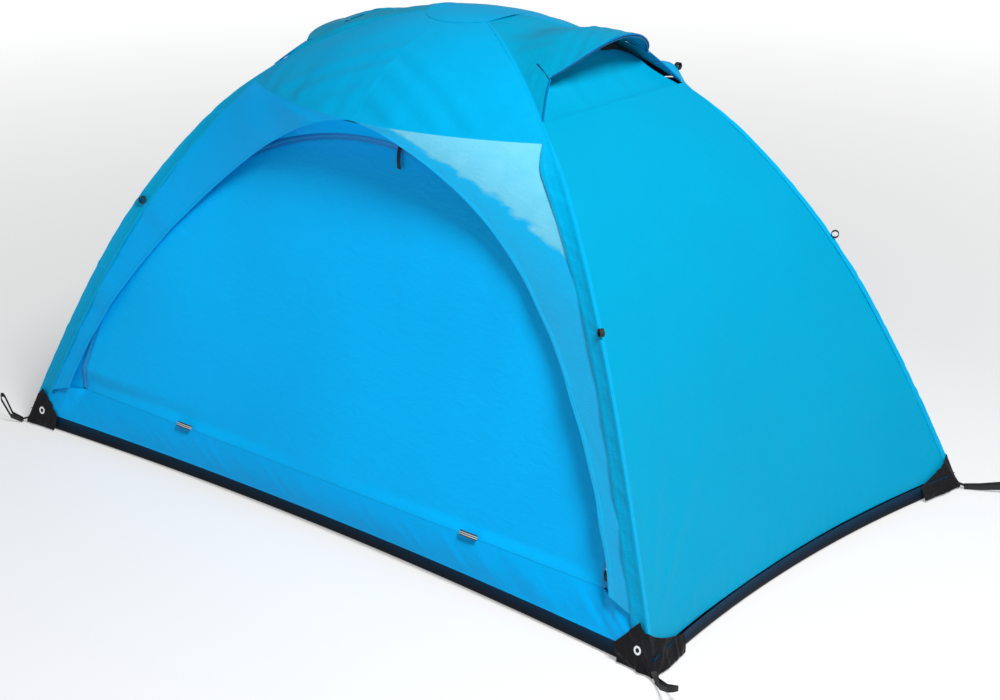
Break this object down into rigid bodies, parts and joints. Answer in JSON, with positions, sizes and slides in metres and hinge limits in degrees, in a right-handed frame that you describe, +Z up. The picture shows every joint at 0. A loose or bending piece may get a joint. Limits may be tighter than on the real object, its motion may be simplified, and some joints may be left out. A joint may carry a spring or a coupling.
{
  "type": "dome tent",
  "caption": "Free-standing dome tent on crossing poles: arched zip door, raised roof vents, floor tub, stake loops and eyelets at its corners.",
  "frame": {"origin": "centre of the floor, on the ground under the crown", "axes": "+X along the long side of the floor, -Y towards the door, +Z up"},
  "size_m": [2.2792, 1.3768, 1.15],
  "materials": {
    "canopy_fabric": "coated ripstop nylon, blue, slight sheen",
    "floor_fabric": "coated nylon, dark navy",
    "corner_fabric": "heavy coated nylon, black",
    "pole_alloy": "anodised tube",
    "ferrule_alloy": "plain drawn tube",
    "elastic_cord": "braided sheath over rubber",
    "tip_alloy": "turned",
    "black_plastic": "matt",
    "zip_tape": "woven tape with coil teeth",
    "zip_metal": "nickel plated",
    "black_webbing": "woven nylon webbing",
    "insect_mesh": "fine knitted mesh",
    "spring_wire": "drawn",
    "eyelet_metal": "pressed eyelet",
    "reflective_webbing": "black webbing with a reflective centre"
  },
  "bodies": {
    "tent": {"back_roof": "canopy_fabric", "back_wall": "canopy_fabric", "brow_panel": "canopy_fabric", "corner_eyelets": "eyelet_metal", "corner_patches": "corner_fabric", "crown_patch": "canopy_fabric", "door_surround": "canopy_fabric", "door_zip_outer_half": "zip_tape", "end_wall_left": "canopy_fabric", "end_wall_right": "canopy_fabric", "floor_tub": "floor_fabric", "front_sill": "canopy_fabric", "guy_loops": "black_webbing", "lower_pole_ferrules": "ferrule_alloy", "lower_pole_section_1": "pole_alloy", "lower_pole_section_2": "pole_alloy", "lower_pole_section_3": "pole_alloy", "lower_pole_section_4": "pole_alloy", "lower_pole_section_5": "pole_alloy", "lower_pole_section_6": "pole_alloy", "lower_pole_section_7": "pole_alloy", "lower_pole_shock_cord": "elastic_cord", "pole_ties": "black_webbing", "pole_tips": "tip_alloy", "rain_flap_left": "canopy_fabric", "rain_flap_right": "canopy_fabric", "ridge_pole_caps": "black_plastic", "ridge_pole_ferrules": "ferrule_alloy", "ridge_pole_section_1": "pole_alloy", "ridge_pole_section_2": "pole_alloy", "ridge_pole_shock_cord": "elastic_cord", "roof_left": "canopy_fabric", "roof_right": "canopy_fabric", "sill_tabs": "reflective_webbing", "upper_pole_ferrules": "ferrule_alloy", "upper_pole_section_1": "pole_alloy", "upper_pole_section_2": "pole_alloy", "upper_pole_section_3": "pole_alloy", "upper_pole_section_4": "pole_alloy", "upper_pole_section_5": "pole_alloy", "upper_pole_section_6": "pole_alloy", "upper_pole_section_7": "pole_alloy", "upper_pole_shock_cord": "elastic_cord", "vent_mesh_left": "insect_mesh", "vent_mesh_right": "insect_mesh", "vent_walls": "canopy_fabric"},
    "door": {"door_panel": "canopy_fabric", "door_zip_inner_half": "zip_tape"},
    "slider_upper": {"zip_slider_upper": "zip_metal"},
    "pull_upper": {"zip_pull_upper": "black_webbing"},
    "slider_lower": {"zip_slider_lower": "zip_metal"},
    "pull_lower": {"zip_pull_lower": "black_webbing"},
    "hood_left": {"vent_hood_left": "canopy_fabric", "hood_wire_left": "spring_wire"},
    "hood_right": {"vent_hood_right": "canopy_fabric", "hood_wire_right": "spring_wire"},
    "loop_front_left": {"stake_loop_front_left": "black_webbing"},
    "loop_front_right": {"stake_loop_front_right": "black_webbing"},
    "loop_back_right": {"stake_loop_back_right": "black_webbing"},
    "loop_back_left": {"stake_loop_back_left": "black_webbing"}
  },
  "joints": [
    {"name": "door_fold", "type": "hinge", "parent": "tent", "child": "door", "pos_m": [0, -0.56317, 0.125], "axis": [-1, 0, 0], "range_deg": [0, 80]},
    {"name": "upper_slider_run", "type": "hinge", "parent": "tent", "child": "slider_upper", "pos_m": [0, -0.58045, 0.06754], "axis": [0, -0.9576, 0.288], "range_deg": [-35, 88]},
    {"name": "lower_slider_run", "type": "hinge", "parent": "tent", "child": "slider_lower", "pos_m": [0, -0.58045, 0.06754], "axis": [0, -0.9576, 0.288], "range_deg": [-1, 37]},
    {"name": "upper_pull_swing", "type": "hinge", "parent": "slider_upper", "child": "pull_upper", "pos_m": [0.07256, -0.33161, 0.89509], "axis": [0, -0.9576, 0.288], "range_deg": [-80, 80]},
    {"name": "lower_pull_swing", "type": "hinge", "parent": "slider_lower", "child": "pull_lower", "pos_m": [0.86162, -0.55218, 0.16155], "axis": [0, -0.9576, 0.288], "range_deg": [-60, 60]},
    {"name": "right_hood_fold", "type": "hinge", "parent": "tent", "child": "hood_right", "pos_m": [0.35, 0, 1.099], "axis": [0, 1, 0], "range_deg": [0, 46]},
    {"name": "left_hood_fold", "type": "hinge", "parent": "tent", "child": "hood_left", "pos_m": [-0.35, 0, 1.04681], "axis": [0, -1, 0], "range_deg": [0, 27]},
    {"name": "front_left_loop_lift", "type": "hinge", "parent": "tent", "child": "loop_front_left", "pos_m": [-1.04686, -0.62761, 0.006], "axis": [-0.5142, 0.8577, 0], "range_deg": [0, 80]},
    {"name": "front_right_loop_lift", "type": "hinge", "parent": "tent", "child": "loop_front_right", "pos_m": [1.04686, -0.62761, 0.006], "axis": [-0.5142, -0.8577, 0], "range_deg": [0, 80]},
    {"name": "back_right_loop_lift", "type": "hinge", "parent": "tent", "child": "loop_back_right", "pos_m": [1.04686, 0.62761, 0.006], "axis": [0.5142, -0.8577, 0], "range_deg": [0, 80]},
    {"name": "back_left_loop_lift", "type": "hinge", "parent": "tent", "child": "loop_back_left", "pos_m": [-1.04686, 0.62761, 0.006], "axis": [0.5142, 0.8577, 0], "range_deg": [0, 80]}
  ]
}
